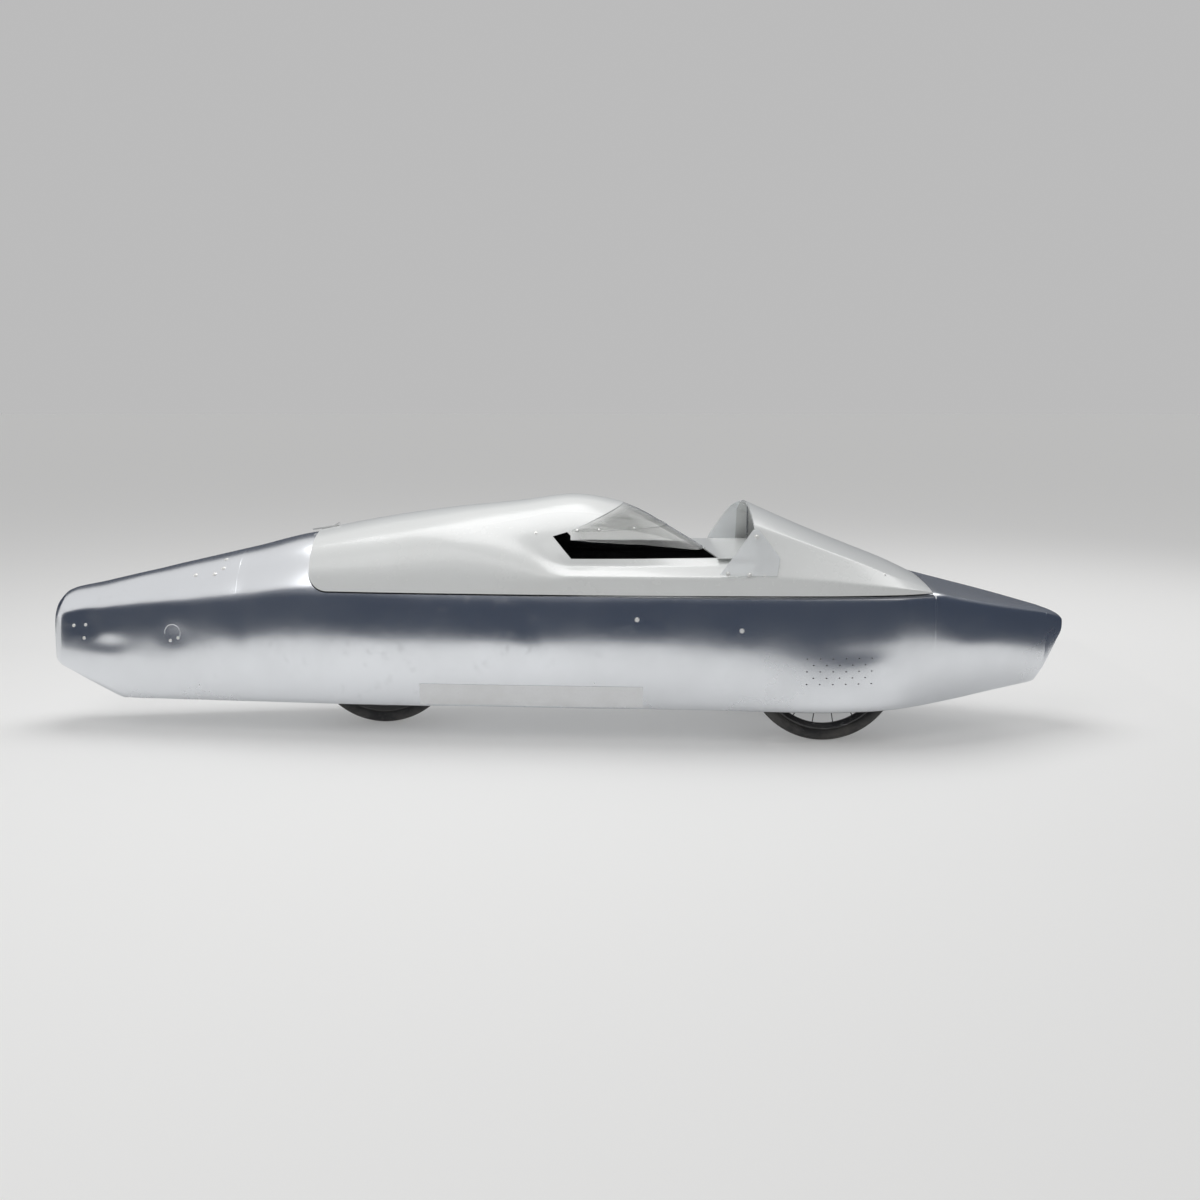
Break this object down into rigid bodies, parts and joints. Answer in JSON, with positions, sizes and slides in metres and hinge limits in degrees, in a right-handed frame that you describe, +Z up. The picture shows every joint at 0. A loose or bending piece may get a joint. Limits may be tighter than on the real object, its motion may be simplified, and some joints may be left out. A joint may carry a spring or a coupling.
{
  "type": "faired velomobile",
  "caption": "Long low faired velomobile with a beaten metal body, a hinged white lid, a clear head bubble and a raised hood.",
  "frame": {"origin": "on the floor below the middle of the vehicle", "axes": "+X to the nose, +Y to the vehicle's left, +Z up"},
  "size_m": [3.3, 0.746, 0.759],
  "materials": {
    "bare_aluminium": "hand-beaten, polished, with dents",
    "white_paint": "white, slightly soiled gloss laminate",
    "clear_sheet": "clear plastic sheet",
    "bright_steel": "brushed",
    "tyre": "worn road rubber",
    "rim_alloy": "satin black",
    "frame_alloy": "mill finish",
    "black_paint": "satin black",
    "grip_rubber": "matt",
    "seat_laminate": "dark laminate",
    "pad_fabric": "woven",
    "drive_case": "grey enamel",
    "chain_steel": "oiled"
  },
  "bodies": {
    "chassis": {"hull_tail": "bare_aluminium", "hull_tub": "bare_aluminium", "hull_nose": "bare_aluminium", "nose_cap": "bare_aluminium", "hull_hinges": "bright_steel", "floor_rails": "frame_alloy", "bulkhead": "frame_alloy", "front_axle": "black_paint", "rear_fork": "black_paint", "roll_hoop": "black_paint", "seat_shell": "seat_laminate", "back_pad": "pad_fabric", "base_pad": "pad_fabric", "head_rest": "pad_fabric", "drive_unit": "drive_case", "drive_chain": "chain_steel"},
    "lid": {"lid_shell": "white_paint", "hood_cowl": "white_paint", "head_bubble": "clear_sheet", "bubble_rim": "clear_sheet", "dash_shelf": "white_paint", "hood_prop": "bright_steel", "gusset_left": "clear_sheet", "gusset_right": "clear_sheet", "lid_latch": "bright_steel", "lid_hinges": "bright_steel"},
    "knuckle_left": {"knuckle_left": "black_paint"},
    "knuckle_right": {"knuckle_right": "black_paint"},
    "tie_rod": {"tie_rod": "bright_steel"},
    "tiller": {"tiller": "black_paint", "bar_grips": "grip_rubber"},
    "wheel_left": {"front_left_tyre": "tyre", "front_left_rim": "rim_alloy", "front_left_hub": "rim_alloy"},
    "wheel_right": {"front_right_tyre": "tyre", "front_right_rim": "rim_alloy", "front_right_hub": "rim_alloy"},
    "wheel_rear": {"rear_tyre": "tyre", "rear_rim": "rim_alloy", "rear_hub": "rim_alloy", "rear_sprocket": "bright_steel"}
  },
  "joints": [
    {"name": "lid_hinge", "type": "hinge", "parent": "chassis", "child": "lid", "pos_m": [0.35, 0.366, 0.4745], "axis": [-1, 0, 0], "range_deg": [0, 75]},
    {"name": "steer_left", "type": "hinge", "parent": "chassis", "child": "knuckle_left", "pos_m": [0.83, 0.168, 0.24], "axis": [0, 0, 1], "range_deg": [-10, 10]},
    {"name": "steer_right", "type": "hinge", "parent": "chassis", "child": "knuckle_right", "pos_m": [0.83, -0.168, 0.24], "axis": [0, 0, 1], "range_deg": [-10, 10]},
    {"name": "tiller_turn", "type": "hinge", "parent": "chassis", "child": "tiller", "pos_m": [0.83, 0, 0.288], "axis": [0, 0, 1], "range_deg": [-10, 10]},
    {"name": "tie_rod_pin", "type": "hinge", "parent": "knuckle_left", "child": "tie_rod", "pos_m": [0.725, 0.168, 0.204], "axis": [0, 0, 1], "range_deg": [-10, 10]},
    {"name": "spin_left", "type": "hinge", "parent": "knuckle_left", "child": "wheel_left", "pos_m": [0.83, 0.24, 0.24], "axis": [0, 1, 0], "continuous": true},
    {"name": "spin_right", "type": "hinge", "parent": "knuckle_right", "child": "wheel_right", "pos_m": [0.83, -0.24, 0.24], "axis": [0, 1, 0], "continuous": true},
    {"name": "spin_rear", "type": "hinge", "parent": "chassis", "child": "wheel_rear", "pos_m": [-0.587, 0, 0.24], "axis": [0, 1, 0], "continuous": true}
  ],
  "couplings": [
    {"joint": "steer_right", "follows": "steer_left", "ratio": 1},
    {"joint": "tiller_turn", "follows": "steer_left", "ratio": 1},
    {"joint": "tie_rod_pin", "follows": "steer_left", "ratio": -1}
  ]
}
